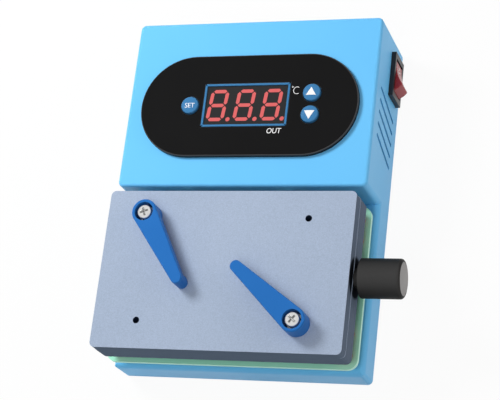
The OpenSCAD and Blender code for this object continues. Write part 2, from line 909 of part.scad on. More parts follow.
// Rocker with a hollow face, its ends running round the pivot
module switch_rocker() {
    color("firebrick") placed() translate([pivot_x, switch_y, switch_z])
        rotate([0, 0, rocker_tilt]) {
            linear_extrude(rocker_w, center = true) difference() {
                intersection() {
                    circle(r = rocker_r, $fn = 2 * hull_fn);
                    translate([-rocker_low, -rocker_r]) square([2 * rocker_r, 2 * rocker_r]);
                }
                translate([rocker_mid + rocker_dish, 0])
                    circle(r = rocker_dish, $fn = 4 * hull_fn);
            }
            cylinder(r = pin_r, h = rocker_w + 2 * pin_l, center = true);
        }
}

module deck_pillars() {
    color("gold") placed() translate([0, plate_y, deck_z]) corners(sleeve_x, bush_y)
        difference() {
            union() {
                cylinder(r = pillar_r, h = board_gap);
                translate([0, 0, -spigot_l]) cylinder(r = m3_r, h = spigot_l + snug);
            }
            translate([0, 0, board_gap - board_screw_in])
                cylinder(r = m3_r + snug, h = board_screw_in + cut);
        }
}

module insulation_board() {
    color("mediumaquamarine") placed()
        translate([0, board_front + board_len / 2, board_z]) difference() {
            linear_extrude(board_t) round_rect(board_w, board_len, board_r);
            translate([0, plate_y - board_front - board_len / 2, -cut]) {
                corners(sleeve_x, sleeve_y) cylinder(r = m3_r + run, h = board_t + 2 * cut);
                corners(sleeve_x, bush_y) cylinder(r = m3_r + run, h = board_t + 2 * cut);
            }
        }
}

module board_bushes() {
    color("firebrick") placed() translate([0, plate_y, sleeve_z]) corners(sleeve_x, bush_y)
        difference() {
            cylinder(r = sleeve_r, h = bush_h);
            translate([0, 0, -cut]) cylinder(r = m3_r + run, h = bush_h + 2 * cut);
        }
}

module board_screws() {
    color("silver") placed() translate([0, plate_y, sleeve_z + bush_h])
        corners(sleeve_x, bush_y) rotate([180, 0, 0])
            pan_screw_up(m3_r, bush_h + board_t + board_screw_in - play, m3_head_r, m3_head_h);
}

module plate_sleeves() {
    color("firebrick") placed() translate([0, plate_y, sleeve_z])
        corners(sleeve_x, sleeve_y) difference() {
            cylinder(r = sleeve_r, h = plate_gap);
            translate([0, 0, -cut]) cylinder(r = m3_r + run, h = plate_gap + 2 * cut);
        }
}

module plate_screws() {
    color("silver") placed() translate([0, plate_y, board_z])
        corners(sleeve_x, sleeve_y)
            pan_screw_up(m3_r, board_t + plate_gap + plate_screw_in, m3_head_r, m3_head_h);
}

module heating_plate() {
    color("lightsteelblue") placed() difference() {
        union() {
            translate([0, plate_y, plate_z])
                linear_extrude(plate_t - ledge_drop) round_rect(plate_w, plate_l, plate_r);
            translate([0, plate_y, plate_z])
                linear_extrude(plate_t) round_rect(plate_w - 2 * ledge_w, plate_l, plate_r);
        }
        translate([0, plate_y, plate_top - thread_l])
            corners(thread_x, thread_y) cylinder(r = thread_r, h = thread_l + cut);
        translate([0, plate_y, plate_z - cut])
            corners(sleeve_x, sleeve_y)
                cylinder(r = m3_r + snug, h = plate_screw_in + cut + play);
        for (x = [-rod_x, rod_x]) {
            translate([x, plate_end + cut, rod_z])
                rotate([90, 0, 0]) cylinder(r = rod_r + snug, h = rod_l + play + cut + lead_in);
        }
        translate([0, plate_end + cut, rod_z])
            rotate([90, 0, 0]) cylinder(r = probe_r + snug, h = probe_l + play + cut + lead_in);
        translate([plate_w / 2 - stud_in, plate_y, plate_top - grip_drop])
            rotate([0, 90, 0]) cylinder(r = stud_r + snug, h = stud_in + cut);
    }
}

module heater_rods() {
    color("silver") placed() for (x = [-rod_x, rod_x]) {
        translate([x, plate_end - lead_in, rod_z])
            rotate([90, 0, 0]) cylinder(r = rod_r, h = rod_l);
    }
}

// Lead from a rod's end down through the deck and on to the terminal block
module lead(x, r) {
    out = lead_y - lead_bend - plate_end + lead_in;
    translate([x, plate_end - lead_in, rod_z]) rotate([-90, 0, 0]) cylinder(r = r, h = out);
    translate([x, lead_y - lead_bend, rod_z - lead_bend])
        rotate([0, -90, 0])
            rotate_extrude(angle = 90) translate([lead_bend, 0]) circle(r = r);
    translate([x, lead_y, entry_z + lead_bend])
        cylinder(r = r, h = rod_z - entry_z - 2 * lead_bend);
    translate([x, lead_y + lead_bend, entry_z + lead_bend])
        rotate([0, -90, 0]) rotate([0, 0, 180])
            rotate_extrude(angle = 90) translate([lead_bend, 0]) circle(r = r);
    translate([x, lead_y + lead_bend, entry_z])
        rotate([-90, 0, 0]) cylinder(r = r, h = block_y + lead_in - lead_y - lead_bend);
}

module heater_leads() {
    color("white") placed() for (x = [-rod_x, rod_x]) {
        lead(x, lead_r);
    }
}

module temperature_probe() {
    color("silver") placed() {
        translate([0, plate_end - lead_in, rod_z])
            rotate([90, 0, 0]) cylinder(r = probe_r, h = probe_l);
        lead(0, probe_lead_r);
    }
}

module lead_grommets() {
    color("dimgray") placed() for (x = [-rod_x, 0, rod_x]) {
        r = x == 0 ? probe_lead_r : lead_r;
        translate([x, lead_y, deck_z]) difference() {
            union() {
                cylinder(r = grommet_flange_r, h = grommet_flange_t);
                translate([0, 0, -wall]) cylinder(r = grommet_r, h = wall + snug);
            }
            translate([0, 0, -2 * wall]) cylinder(r = r + snug, h = 3 * wall);
        }
    }
}

// Places a piece on the handle's axis, its z axis pointing to the right
module at_handle(out) {
    translate([plate_w / 2 + out, plate_y, plate_top - grip_drop])
        rotate([0, 90, 0]) children();
}

module handle_stud() {
    color("silver") placed() at_handle(-stud_in + play)
        cylinder(r = stud_r, h = stud_in + stud_out - play);
}

module handle_grip() {
    color("black") placed() at_handle(0) difference() {
        rotate_extrude($fn = 2 * hull_fn) {
            square([grip_r, grip_l - grip_edge]);
            square([grip_r - grip_edge, grip_l]);
            translate([grip_r - grip_edge, grip_l - grip_edge]) circle(r = grip_edge);
        }
        translate([0, 0, -cut]) cylinder(r = stud_r + snug, h = stud_out + cut + play);
        translate([0, 0, grip_l - cap_t]) cylinder(r = cap_r + snug, h = cap_t + cut);
    }
}

module handle_cap() {
    color("gray") placed() at_handle(grip_l - cap_t) cylinder(r = cap_r, h = cap_t);
}

// Clamp screw, its head sunk in the arm's pocket
module clamp_screw(x, y) {
    shank = clamp_head_z - plate_top + thread_l - play;
    translate([x, y, clamp_head_z]) difference() {
        union() {
            translate([0, 0, -shank]) cylinder(r = thread_r - snug, h = shank);
            translate([0, 0, plate_top - clamp_head_z])
                cylinder(r = clamp_screw_r, h = clamp_head_z - plate_top);
            cylinder(r = clamp_head_r, h = clamp_head_h);
        }
        translate([0, 0, clamp_head_h]) cross_recess();
    }
}

module clamp_washer(x, y) {
    translate([x, y, washer_z]) difference() {
        cylinder(r = washer_r, h = washer_t);
        translate([0, 0, -cut]) cylinder(r = clamp_screw_r + run, h = washer_t + 2 * cut);
    }
}

// Coil spring as one swept wire between the washer and the screw head
coil_rings = 8;
wire_sides = 6;
coil_rise = spring_l - 2 * wire_r - 2 * snug;
coil_steps = coil_rings * coil_turns;
coil_slope = atan(coil_rise / coil_turns / (2 * PI * coil_r));
function coil_mid(i) = [
    coil_r * cos(360 * i / coil_rings),
    coil_r * sin(360 * i / coil_rings),
    wire_r + snug + coil_rise * i / coil_steps
];
function coil_point(i, a) = coil_mid(i) + wire_r * [
    cos(a) * cos(360 * i / coil_rings) + sin(a) * sin(coil_slope) * sin(360 * i / coil_rings),
    cos(a) * sin(360 * i / coil_rings) - sin(a) * sin(coil_slope) * cos(360 * i / coil_rings),
    sin(a) * cos(coil_slope)
];
coil_points = [for (i = [0:coil_steps]) for (k = [0:wire_sides - 1])
    coil_point(i, 360 * k / wire_sides)];
coil_sides = [for (i = [0:coil_steps - 1]) for (k = [0:wire_sides - 1]) for (h = [0, 1])
    h == 0
        ? [i * wire_sides + k, i * wire_sides + (k + 1) % wire_sides, (i + 1) * wire_sides + k]
        : [(i + 1) * wire_sides + k, i * wire_sides + (k + 1) % wire_sides,
            (i + 1) * wire_sides + (k + 1) % wire_sides]];
coil_start = [for (k = [1:wire_sides - 2]) [0, k + 1, k]];
coil_last = coil_steps * wire_sides;
coil_end = [for (k = [1:wire_sides - 2]) [coil_last, coil_last + k, coil_last + k + 1]];
coil_gap = min([for (i = [0:coil_steps - coil_rings])
    norm(coil_mid(i + coil_rings) - coil_mid(i)) - 2 * wire_r]);
echo(least_gap_between_spring_turns = coil_gap);

module clamp_spring(x, y) {
    translate([x, y, spring_z])
        polyhedron(points = coil_points, faces = concat(coil_sides, coil_start, coil_end));
}

// Solid outline of an arm along its own x axis with a bevelled top edge
module arm_outline() {
    hull() {
        for (s = [[0, arm_hub_r], [arm_reach, arm_tip_r]]) {
            translate([s[0], 0, 0]) {
                cylinder(r = s[1], h = arm_h - arm_bevel, $fn = hull_fn);
                cylinder(r = s[1] - arm_bevel, h = arm_h, $fn = hull_fn);
            }
        }
    }
}

// Bridge arm: full height at the hub and at the tip's foot, relieved between them
module clamp_arm(x, y, turn) {
    translate([x, y, seat_z]) rotate([0, 0, turn]) difference() {
        arm_outline();
        difference() {
            translate([0, -2 * arm_hub_r, -cut])
                cube([arm_reach - arm_tip_r / 2, 4 * arm_hub_r, arm_relief + cut]);
            translate([0, 0, -2 * cut]) cylinder(r = arm_hub_r, h = arm_relief + 3 * cut);
        }
        translate([0, 0, -cut]) cylinder(r = clamp_screw_r + run, h = arm_h + 2 * cut);
        translate([0, 0, pocket_floor]) cylinder(r = pocket_r, h = arm_h);
    }
}

module left_clamp_screw() {
    color("silver") placed() clamp_screw(left_x, left_y);
}

module left_clamp_washer() {
    color("silver") placed() clamp_washer(left_x, left_y);
}

module left_clamp_spring() {
    color("silver") placed() clamp_spring(left_x, left_y);
}

module left_clamp_arm() {
    color("royalblue") placed() clamp_arm(left_x, left_y, left_arm_angle);
}

module right_clamp_screw() {
    color("silver") placed() clamp_screw(right_x, right_y);
}

module right_clamp_washer() {
    color("silver") placed() clamp_washer(right_x, right_y);
}

module right_clamp_spring() {
    color("silver") placed() clamp_spring(right_x, right_y);
}

module right_clamp_arm() {
    color("royalblue") placed() clamp_arm(right_x, right_y, right_arm_angle);
}

top_shell();
base_cover();
base_screws();
rubber_feet();
panel_overlay();
window_frame();
display_window();
display_module();
control_board();
control_board_screws();
key_switches();
power_board();
power_board_screws();
power_transformer();
power_relay();
terminal_block();
power_inlet();
inlet_pins();
switch_housing();
switch_terminals();
switch_rocker();
deck_pillars();
insulation_board();
board_bushes();
board_screws();
plate_sleeves();
plate_screws();
heating_plate();
heater_rods();
heater_leads();
temperature_probe();
lead_grommets();
handle_stud();
handle_grip();
handle_cap();
left_clamp_screw();
left_clamp_washer();
left_clamp_spring();
left_clamp_arm();
right_clamp_screw();
right_clamp_washer();
right_clamp_spring();
right_clamp_arm();
set_button();
set_plunger();
up_button();
up_plunger();
down_button();
down_plunger();
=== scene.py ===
import bpy
import bmesh
from math import atan, cos, pi, radians, sin
from mathutils import Matrix, Quaternion, Vector


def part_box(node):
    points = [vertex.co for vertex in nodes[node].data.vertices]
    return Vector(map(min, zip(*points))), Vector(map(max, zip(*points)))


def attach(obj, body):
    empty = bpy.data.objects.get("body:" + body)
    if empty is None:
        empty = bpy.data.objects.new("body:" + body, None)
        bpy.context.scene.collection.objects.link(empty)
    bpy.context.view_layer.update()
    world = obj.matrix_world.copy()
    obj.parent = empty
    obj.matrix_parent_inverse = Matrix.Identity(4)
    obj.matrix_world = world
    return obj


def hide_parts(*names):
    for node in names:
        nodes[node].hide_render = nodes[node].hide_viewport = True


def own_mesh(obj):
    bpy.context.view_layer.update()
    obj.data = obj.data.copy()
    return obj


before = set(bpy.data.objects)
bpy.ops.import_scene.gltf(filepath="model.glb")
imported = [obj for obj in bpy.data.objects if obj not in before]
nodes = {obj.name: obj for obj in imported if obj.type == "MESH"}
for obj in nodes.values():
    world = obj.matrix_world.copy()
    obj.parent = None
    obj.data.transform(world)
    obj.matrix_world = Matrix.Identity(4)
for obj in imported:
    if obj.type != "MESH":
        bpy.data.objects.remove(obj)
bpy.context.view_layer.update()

# Housing shell: one injection moulding in satin sky-blue plastic, low in front and raised behind,
# with round edges, slanted vent slots through both side walls and screw bosses inside.
mm = 0.001
shell_low, shell_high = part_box("top_shell")
middle_x = (shell_low.x + shell_high.x) / 2
front_y = shell_low.y
shell_sharp = 28
one_spot = 0.002
flat_within = 0.5
rounded_from = 34


def at(x, y, z=0.0):
    """Point in millimetres: across from the housing's middle, back from its front, and up."""
    return Vector((middle_x + x * mm, front_y + y * mm, z * mm))


def crease(shape, sharp=35):
    """Smooths a shape, but for the edges where it turns by more than so many degrees."""
    for face in shape.faces:
        face.smooth = True
    for edge in shape.edges:
        edge.smooth = edge.calc_face_angle(pi) < radians(sharp)


def joined_copy(node, sharp=35):
    """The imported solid's loose triangles joined into one skin, smooth but for its real edges."""
    shape = bmesh.new()
    shape.from_mesh(nodes[node].data)
    bmesh.ops.remove_doubles(shape, verts=shape.verts, dist=one_spot * mm)
    bmesh.ops.dissolve_limit(shape, angle_limit=radians(flat_within), verts=shape.verts,
                             edges=shape.edges)
    crease(shape, sharp)
    return shape


def object_of(shape, name, finishes):
    """Puts a finished shape into the scene as an object with its finishes."""
    mesh = bpy.data.meshes.new(name)
    shape.to_mesh(mesh)
    shape.free()
    for finish in finishes:
        mesh.materials.append(finish)
    made = bpy.data.objects.new(name, mesh)
    bpy.context.scene.collection.objects.link(made)
    return made


def make_piece(shape, name, body, finishes, stands_for=(), rounding=0.0, steps=2, rim=-1):
    """A shape as a piece that rides its body, its sharp edges rounded by so many millimetres."""
    piece = object_of(shape, name, finishes)
    if rounding:
        edges = piece.modifiers.new("rounded edges", "BEVEL")
        edges.width = rounding * mm
        edges.segments = steps
        edges.limit_method = "ANGLE"
        edges.angle_limit = radians(rounded_from)
        edges.harden_normals = True
        edges.material = rim
    else:
        piece.modifiers.new("even shading", "WEIGHTED_NORMAL").keep_sharp = True
    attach(piece, body)
    if stands_for:
        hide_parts(*stands_for)
    return piece


def dress(node, name, finishes, rounding=0.0, steps=2, rim=-1, body="station", sharp=35):
    """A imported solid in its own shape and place, with rounded edges and its real finish."""
    shape = joined_copy(node, sharp)
    make_piece(shape, name, body, finishes, [node], rounding, steps, rim)


def feed(tree, socket, value):
    """Wires a socket to another node's, or sets it to a plain number or colour."""
    if isinstance(value, bpy.types.NodeSocket):
        tree.links.new(value, socket)
    elif value is not None:
        if socket.type == "RGBA" and len(value) == 3:
            value = (*value, 1.0)
        socket.default_value = value


def add(tree, kind, *wires, **settings):
    """Adds a shader node, its own settings first, then its inputs in order and by name."""
    node = tree.nodes.new("ShaderNode" + kind)
    named = {}
    for key, value in settings.items():
        if key[0].isupper():
            named[key.replace("_", " ")] = value
        else:
            setattr(node, key, value)
    for socket, value in zip(node.inputs, wires):
        feed(tree, socket, value)
    for key, value in named.items():
        feed(tree, node.inputs[key], value)
    return node


def maths(tree, kind, a, b):
    return add(tree, "Math", a, b, operation=kind).outputs[0]


def blend_of(tree, share, a, b):
    node = tree.nodes.new("ShaderNodeMix")
    node.data_type = "RGBA"
    for place, value in zip((0, 6, 7), (share, a, b)):
        feed(tree, node.inputs[place], value)
    return node.outputs[2]


def ramp_of(tree, value, low, high):
    """Turns a value into a mask: 0 at its low mark and below, 1 at its high mark and above."""
    return add(tree, "MapRange", value, low, high, 0.0, 1.0).outputs[0]


def effect(name, inputs, outputs):
    """A shader node group with named inputs, their starting values and named outputs."""
    tree = bpy.data.node_groups.new(name, "ShaderNodeTree")
    kinds = {"colour": "NodeSocketColor", "value": "NodeSocketFloat", "vector": "NodeSocketVector"}
    for label, kind, start in inputs:
        socket = tree.interface.new_socket(label, in_out="INPUT", socket_type=kinds[kind])
        socket.default_value = start
    for label, kind in outputs:
        tree.interface.new_socket(label, in_out="OUTPUT", socket_type=kinds[kind])
    return tree, tree.nodes.new("NodeGroupInput").outputs, tree.nodes.new("NodeGroupOutput").inputs


# Fine grain and broad cloudiness that every moulded, painted or blasted surface has
noise_low, noise_high = 0.3, 0.7
skin, given, result = effect(
    "grained skin",
    [("Colour", "colour", (0.5, 0.5, 0.5, 1)), ("Other Colour", "colour", (0.4, 0.4, 0.4, 1)),
     ("Grain", "value", 4000.0), ("Cloud", "value", 30.0), ("Grain Share", "value", 0.5),
     ("Gloss", "value", 0.5), ("Gloss Spread", "value", 0.1), ("Depth", "value", 0.02 * mm)],
    [("Colour", "colour"), ("Roughness", "value"), ("Normal", "vector")])
place = add(skin, "TexCoord").outputs["Object"]
fine = add(skin, "TexNoise", Vector=place, Scale=given["Grain"], Detail=3.0, Roughness=0.6)
broad = add(skin, "TexNoise", Vector=place, Scale=given["Cloud"], Detail=4.0, Roughness=0.55)
fine_mask = ramp_of(skin, fine.outputs["Fac"], noise_low, noise_high)
broad_mask = ramp_of(skin, broad.outputs["Fac"], noise_low, noise_high)
broad_share = maths(skin, "SUBTRACT", 1.0, given["Grain Share"])
mask = maths(skin, "ADD", maths(skin, "MULTIPLY", fine_mask, given["Grain Share"]),
             maths(skin, "MULTIPLY", broad_mask, broad_share))
gloss_change = maths(skin, "MULTIPLY", maths(skin, "SUBTRACT", broad_mask, 0.5), given["Gloss Spread"])
feed(skin, result["Colour"], blend_of(skin, mask, given["Colour"], given["Other Colour"]))
feed(skin, result["Roughness"], maths(skin, "ADD", given["Gloss"], gloss_change))
relief = add(skin, "Bump", Height=fine.outputs["Fac"], Distance=given["Depth"])
feed(skin, result["Normal"], relief.outputs[0])


def finish_of(name, colour, other, grain=4000.0, cloud=30.0, share=0.5, gloss=0.5, spread=0.1,
              depth=0.02, **shader):
    """A material of the grained skin, its relief's depth in millimetres.

    What is the same all over the surface goes straight onto the shader's own sockets.
    """
    material = bpy.data.materials.new(name)
    material.use_nodes = True
    tree = material.node_tree
    tree.nodes.clear()
    body = add(tree, "BsdfPrincipled")
    coat = tree.nodes.new("ShaderNodeGroup")
    coat.node_tree = skin
    coat.label = "grained skin"
    values = (colour, other, grain, cloud, share, gloss, spread, depth * mm)
    for socket, value in zip(coat.inputs, values):
        feed(tree, socket, value)
    for target, source in (("Base Color", "Colour"), ("Roughness", "Roughness"), ("Normal", "Normal")):
        tree.links.new(coat.outputs[source], body.inputs[target])
    for label, value in shader.items():
        feed(tree, body.inputs[label.replace("_", " ")], value)
    tree.links.new(body.outputs[0], add(tree, "OutputMaterial").inputs[0])
    return material


sky_plastic = finish_of("sky-blue plastic", (0.168, 0.58, 0.99), (0.155, 0.555, 0.955), grain=5200,
                        cloud=22, share=0.35, gloss=0.42, depth=0.018, Specular_IOR_Level=0.2)
dress("top_shell", "housing_shell", [sky_plastic], sharp=shell_sharp)

# Base cover with its screws and feet: a grey moulded plate closes the housing from below, held by
# six countersunk screws into the shell's bosses, and it stands on four turned rubber feet.
base_plastic = finish_of("grey base plastic", (0.3, 0.31, 0.33), (0.25, 0.26, 0.28), grain=3600,
                         cloud=18, gloss=0.55, spread=0.15, depth=0.03)
zinc = finish_of("zinc-plated steel", (0.62, 0.61, 0.58), (0.5, 0.5, 0.49), grain=2600, cloud=260,
                 share=0.4, gloss=0.32, spread=0.16, depth=0.008, Metallic=1.0)
foot_rubber = finish_of("soft black rubber", (0.035, 0.035, 0.036), (0.022, 0.022, 0.023), grain=2800,
                        cloud=90, gloss=0.82, spread=0.12, depth=0.05)
dress("base_cover", "base_plate", [base_plastic], rounding=0.25)
dress("base_screws", "base_plate_screws", [zinc], rounding=0.08)
dress("rubber_feet", "bench_feet", [foot_rubber], rounding=0.4, steps=3)

# Control panel: a black plate with fully round ends and a thin bevelled rim, glued onto the raised
# part. Its lettering is printed in white: the degree sign by the window and the word below it.
panel_y = 109.4
panel_top = 41.0
celsius_size = (2.5, 3.4)
celsius_spot = (20.85, 115.6)
degree_radius, degree_hole = 0.36, 0.2
degree_spot = (19.2, 117.2)
output_size = (6.4, 2.35)
output_spot = (13.1, panel_y - 12.0)
film = 0.03
same_point = 0.0001
longest_edge = 0.6
panel_black = finish_of("smooth black panel", (0.0085, 0.0085, 0.0088), (0.0068, 0.0068, 0.0071),
                        grain=6500, cloud=26, gloss=0.4, spread=0.12, depth=0.006,
                        Specular_IOR_Level=0.05)
white_print = finish_of("white screen print", (0.97, 0.97, 0.97), (0.92, 0.92, 0.92), grain=7000,
                        cloud=400, depth=0.004)
# Painted highlight: the panel's bevelled rim is painted lighter than its black face.
panel_edge_highlight = finish_of("painted highlight on the panel's edge", (0.03, 0.031, 0.033), (0.022, 0.023, 0.025), grain=6000,
                      cloud=60, gloss=0.34, depth=0.006)
dress("panel_overlay", "control_panel", [panel_black, panel_edge_highlight], rounding=0.22, rim=1)


def fit_flat(shape, width, height):
    """Centres flat lettering on the origin and scales it to a width and height in millimetres."""
    across = [v.co.x for v in shape.verts]
    up = [v.co.y for v in shape.verts]
    bmesh.ops.translate(shape, verts=shape.verts,
                        vec=(-(min(across) + max(across)) / 2, -(min(up) + max(up)) / 2, 0))
    bmesh.ops.scale(shape, verts=shape.verts, vec=(
        width * mm / (max(across) - min(across)), height * mm / (max(up) - min(up)), 1))


def lettering(words, size, thick=0.0, lean=0.0):
    """Flat words at the origin, drawn to a size in millimetres, with thicker or slanted strokes."""
    curve = bpy.data.curves.new(words, "FONT")
    curve.body = words
    curve.offset = thick
    curve.shear = lean
    curve.resolution_u = 5
    holder = bpy.data.objects.new(words, curve)
    bpy.context.scene.collection.objects.link(holder)
    flat = bpy.data.meshes.new_from_object(holder.evaluated_get(bpy.context.evaluated_depsgraph_get()))
    bpy.data.objects.remove(holder)
    shape = bmesh.new()
    shape.from_mesh(flat)
    fit_flat(shape, *size)
    return shape


def thicken(shape, height, surface=None):
    """Makes a flat shape a closed block so many metres high, and lays it over a surface, if any."""
    grown = bmesh.ops.extrude_face_region(shape, geom=shape.faces[:])
    risen = [part for part in grown["geom"] if isinstance(part, bmesh.types.BMVert)]
    bmesh.ops.translate(shape, verts=risen, vec=(0, 0, height))
    if surface:
        for vert in shape.verts:
            vert.co.z += surface(vert.co)
    bmesh.ops.recalc_face_normals(shape, faces=shape.faces)


def print_flat(shape, name, centre, body="station", finish=white_print, raised=film,
               surface=None):
    """Lays flat lettering as a film so many millimetres high, also over a surface that isn't flat."""
    bmesh.ops.remove_doubles(shape, verts=shape.verts, dist=same_point * mm)
    if surface:
        bmesh.ops.triangulate(shape, faces=shape.faces)
        long_edges = [edge for edge in shape.edges if edge.calc_length() > longest_edge * mm]
        bmesh.ops.subdivide_edges(shape, edges=long_edges, cuts=2, use_grid_fill=True)
        bmesh.ops.triangulate(shape, faces=shape.faces)
    bmesh.ops.translate(shape, verts=shape.verts, vec=centre)
    thicken(shape, raised * mm, surface)
    crease(shape)
    make_piece(shape, name, body, [finish])


def flat_ring(radius, hole):
    shape = bmesh.new()
    for size in (radius, hole):
        bmesh.ops.create_circle(shape, cap_ends=False, segments=20, radius=size * mm)
    bmesh.ops.bridge_loops(shape, edges=shape.edges)
    return shape


print_flat(lettering("C", celsius_size, thick=-0.022), "celsius_letter", at(*celsius_spot, panel_top))
print_flat(flat_ring(degree_radius, degree_hole), "degree_ring", at(*degree_spot, panel_top))
print_flat(lettering("OUT", output_size, thick=0.002, lean=0.12), "output_word",
           at(*output_spot, panel_top))

# Display: a blue frame round a smoke-tinted window. Behind the tint stand three slanted digits of
# seven mitred bars with a round point each, all lit, as the factory test of such a display shows them.
frame_blue = finish_of("glossy blue plastic", (0.047, 0.207, 0.435), (0.04, 0.184, 0.4), grain=5000,
                       cloud=120, gloss=0.3, depth=0.008, Specular_IOR_Level=0.25)
smoke = finish_of("smoke-tinted window", (0.026, 0.026, 0.027), (0.022, 0.022, 0.023), grain=5000,
                  cloud=60, gloss=0.3, spread=0.08, depth=0.002, Specular_IOR_Level=0.12)
bar_red = finish_of("lit red bars", (0.7, 0.132, 0.132), (0.65, 0.112, 0.112), grain=3000, cloud=300,
                    gloss=0.4, spread=0.05, depth=0.002)
frame_low, frame_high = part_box("window_frame")
pane_low, pane_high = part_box("display_window")
frame_bar = 0.92
frame_corner = 0.35
pane_corner = 0.1


def square_sheet(low, high, corner, inset=0.0):
    """Block over a rectangle with slightly rounded corners, of which an inset leaves the border."""
    shape = bmesh.new()
    bmesh.ops.create_grid(shape, x_segments=1, y_segments=1, size=0.5)
    bmesh.ops.scale(shape, verts=shape.verts, vec=(high.x - low.x, high.y - low.y, 1))
    bmesh.ops.translate(shape, verts=shape.verts,
                        vec=((low.x + high.x) / 2, (low.y + high.y) / 2, low.z))
    bmesh.ops.bevel(shape, geom=shape.verts[:], offset=corner, segments=3, profile=0.5,
                    affect="VERTICES", material=-1)
    if inset:
        bmesh.ops.inset_region(shape, faces=shape.faces[:], thickness=inset, use_boundary=True,
                               use_even_offset=True)
        middle = [face for face in shape.faces if len(face.verts) > 4]
        bmesh.ops.delete(shape, geom=middle, context="FACES")
    thicken(shape, high.z - low.z)
    crease(shape)
    return shape


make_piece(square_sheet(frame_low, frame_high, frame_corner * mm, frame_bar * mm), "display_frame",
           "station", [frame_blue], ["window_frame"], rounding=0.12)
inside = Vector((frame_bar * mm, frame_bar * mm, 0))
pane_floor = Vector((frame_low.x, frame_low.y, pane_low.z)) + inside
pane_face = Vector((frame_high.x, frame_high.y, pane_high.z)) - inside
make_piece(square_sheet(pane_floor, pane_face, pane_corner * mm), "display_pane", "station",
           [smoke], ["display_window"])
window_top = 40.6
digits_x = -1.52
digits_y = panel_y + 0.05
digit_pitch = 12.03
digit_height = 14.4
digit_width = 8.15
bar = 1.56
gap = 0.34
slant = 0.1
point_radius = 0.95
point_x = 5.9
bar_high = 0.04


def mitred_bar(shape, middle, length, upright):
    """One bar of a digit: a flat strip with both ends mitred to a point."""
    half, long = bar / 2 * mm, (length - 2 * gap) / 2 * mm
    corners = [(-long, 0), (-long + half, half), (long - half, half), (long, 0), (long - half, -half),
               (-long + half, -half)]
    verts = [shape.verts.new((b, -a, 0) if upright else (a, b, 0)) for a, b in corners]
    bmesh.ops.contextual_create(shape, geom=verts)
    bmesh.ops.translate(shape, verts=verts, vec=(middle[0] * mm, middle[1] * mm, 0))


side, half = (digit_width - bar) / 2, (digit_height - bar) / 2
for count in range(3):
    digit = bmesh.new()
    for y in (-half, 0, half):
        mitred_bar(digit, (0, y), 2 * side, False)
    for x in (-side, side):
        for y in (-half / 2, half / 2):
            mitred_bar(digit, (x, y), half, True)
    bmesh.ops.create_circle(digit, cap_ends=True, segments=24, radius=point_radius * mm,
                            matrix=Matrix.Translation((point_x * mm, -half * mm, 0)))
    for vert in digit.verts:
        vert.co.x += vert.co.y * slant
    spot = at(digits_x + (count - 1) * digit_pitch, digits_y, window_top)
    print_flat(digit, f"digit_{count + 1}", spot, finish=bar_red, raised=bar_high)

# Push buttons: three glossy blue caps with a low dome, each on a brass plunger. The set word and the
# two arrowheads are printed in white on the caps and move with them.
cap_top = 42.1
cap_rise = 0.3
cap_radius = 3.85
cap_round = 0.65
flange_radius = 4.6
flange_high = 1.2
dome_radius = 3.2
dome_rings = 6
dome_ball = (dome_radius ** 2 + cap_rise ** 2) / (2 * cap_rise)
print_high = 0.07
buttons = {"set": (-25.8, panel_y), "up": (28.0, panel_y + 4.9), "down": (28.0, panel_y - 4.9)}
set_size, set_spot = (4.3, 2.15), (-25.55, panel_y - 0.35)
up_size, up_spot = (4.4, 3.6), (27.9, panel_y + 3.45)
down_size, down_spot = (4.6, -3.9), (27.95, panel_y - 3.55)


def spun(profile, centre, steps=64, axis=(0, 0, 1)):
    """Turns a half outline of (radius, height) in millimetres into a closed skin round an axis."""
    shape = bmesh.new()
    verts = [shape.verts.new((r * mm, 0, z * mm)) for r, z in profile]
    edges = [shape.edges.new(pair) for pair in zip(verts, verts[1:])]
    bmesh.ops.spin(shape, geom=verts + edges, cent=(0, 0, 0), axis=(0, 0, 1), angle=2 * pi,
                   steps=steps, use_merge=True, use_duplicate=False)
    bmesh.ops.remove_doubles(shape, verts=shape.verts, dist=same_point * mm)
    bmesh.ops.recalc_face_normals(shape, faces=shape.faces)
    turn = Vector((0, 0, 1)).rotation_difference(Vector(axis)).to_matrix()
    bmesh.ops.rotate(shape, verts=shape.verts, cent=(0, 0, 0), matrix=turn)
    bmesh.ops.translate(shape, verts=shape.verts, vec=centre)
    crease(shape)
    return shape


def arc(centre_r, centre_z, radius, start, end, steps):
    """Points of a round corner, its angles counted in degrees from straight out."""
    turns = [radians(start + (end - start) * i / steps) for i in range(steps + 1)]
    return [(centre_r + radius * cos(t), centre_z + radius * sin(t)) for t in turns]


def dome_rise(out):
    """How high the dome stands over the cap's top, so many millimetres out from its middle."""
    return (dome_ball ** 2 - min(out, dome_radius) ** 2) ** 0.5 - dome_ball + cap_rise


for key, (x, y) in buttons.items():
    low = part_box(key + "_button")[0].z / mm
    rings = [dome_radius * i / dome_rings for i in range(dome_rings + 1)]
    dome = [(out, cap_top + dome_rise(out)) for out in rings]
    profile = [(0, low), (flange_radius, low), (flange_radius, low + flange_high),
               (cap_radius, low + flange_high)]
    profile += arc(cap_radius - cap_round, cap_top - cap_round, cap_round, 0, 90, 5) + dome[::-1]
    make_piece(spun(profile, at(x, y)), key + "_cap", key + "_key", [frame_blue],
               [key + "_button"])


def dome_under(x, y):
    """A rule that lifts each point of a print onto the dome of the cap that stands there."""
    middle = at(x, y)
    return lambda point: dome_rise((point - middle).xy.length / mm) * mm


def arrowhead(width, height):
    shape = bmesh.new()
    corners = [(-width / 2, 0), (width / 2, 0), (0, height)]
    bmesh.ops.contextual_create(shape, geom=[shape.verts.new((x * mm, y * mm, 0)) for x, y in corners])
    bmesh.ops.subdivide_edges(shape, edges=shape.edges, cuts=4, use_grid_fill=True)
    return shape


